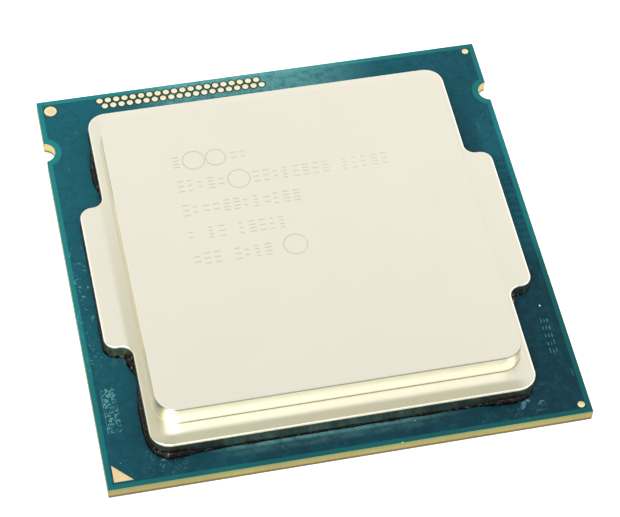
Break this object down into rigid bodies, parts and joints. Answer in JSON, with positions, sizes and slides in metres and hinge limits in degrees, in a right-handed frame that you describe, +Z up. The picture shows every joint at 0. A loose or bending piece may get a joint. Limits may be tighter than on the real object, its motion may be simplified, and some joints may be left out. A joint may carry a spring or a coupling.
{
  "type": "computer processor package",
  "caption": "Square land-grid processor package: laminated substrate with key notches, silicon die and capacitors under a stepped, side-eared nickel heat spreader.",
  "frame": {"origin": "centre of the square package on its seating plane, the outer face of the bottom solder mask", "axes": "+Z up through the heat spreader; +X along the edge with the pin-one corner, away from that corner; +Y towards the edge with the rows of test pads"},
  "size_m": [0.0376, 0.0376, 0.0046],
  "materials": {
    "glass_cloth_core": "matte",
    "build_up_resin": "satin",
    "plug_resin": "matte",
    "copper": "satin",
    "solder_mask": "gloss",
    "gold_plate": "satin",
    "silicon": "polished",
    "solder": "satin",
    "underfill_resin": "satin",
    "thermal_compound": "matte",
    "nickel_plate": "satin",
    "black_silicone": "gloss",
    "capacitor_ceramic": "matte",
    "tinned_terminal": "satin"
  },
  "bodies": {
    "root": {"substrate_core": "glass_cloth_core", "through_hole_barrels": "copper", "through_hole_plugs": "plug_resin", "core_copper_bottom": "copper", "core_copper_top": "copper", "inner_dielectric_bottom": "build_up_resin", "inner_dielectric_top": "build_up_resin", "signal_copper_bottom": "copper", "signal_copper_top": "copper", "outer_dielectric_bottom": "build_up_resin", "outer_dielectric_top": "build_up_resin", "surface_copper_top": "copper", "solder_mask_bottom": "solder_mask", "solder_mask_top": "solder_mask", "land_contacts": "gold_plate", "test_pads": "gold_plate", "corner_fiducials": "gold_plate", "pin_one_mark": "gold_plate", "silicon_die": "silicon", "solder_bumps": "solder", "underfill": "underfill_resin", "thermal_interface": "thermal_compound", "heat_spreader": "nickel_plate", "lid_sealant": "black_silicone", "die_side_capacitors": "capacitor_ceramic", "die_side_terminals": "tinned_terminal", "die_side_solder": "solder", "die_side_pads": "gold_plate", "bulk_capacitors": "capacitor_ceramic", "bulk_terminals": "tinned_terminal", "bulk_solder": "solder", "bulk_pads": "gold_plate", "filter_capacitors": "capacitor_ceramic", "filter_terminals": "tinned_terminal", "filter_solder": "solder", "filter_pads": "gold_plate"}
  },
  "joints": []
}
